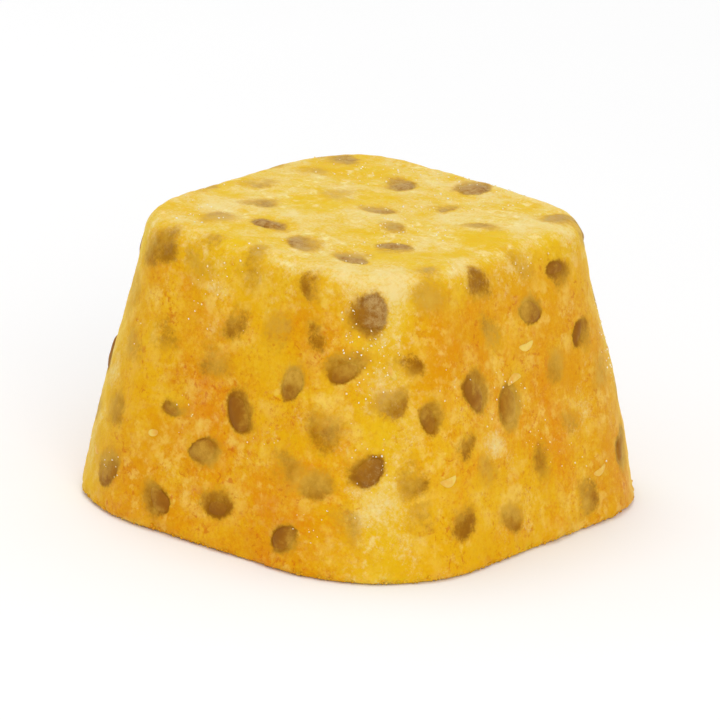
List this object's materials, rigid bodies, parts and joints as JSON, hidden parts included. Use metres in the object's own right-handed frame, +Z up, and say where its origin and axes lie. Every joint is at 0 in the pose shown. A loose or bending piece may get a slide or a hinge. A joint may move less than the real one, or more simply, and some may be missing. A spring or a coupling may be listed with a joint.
{
  "type": "frozen passion fruit puree cube",
  "caption": "Frozen block of fruit puree moulded in a tray: square, narrowing upwards, with soft corners, a flat wide base and seeds set in its surface.",
  "frame": {"origin": "middle of the wide flat base, on the surface that the cube stands on", "axes": "+Z up from the wide base to the narrower top; X and Y square to the block's two pairs of sides"},
  "size_m": [0.0521, 0.0519, 0.0324],
  "materials": {
    "frozen_puree": "golden orange frozen puree, slightly see-through, frosted, paler on top and at the edges",
    "seed": "brown pitted fruit seed under a thin film of puree",
    "ice": "tiny grains of frost that glint"
  },
  "bodies": {
    "root": {"puree_cube": "frozen_puree"}
  },
  "joints": []
}
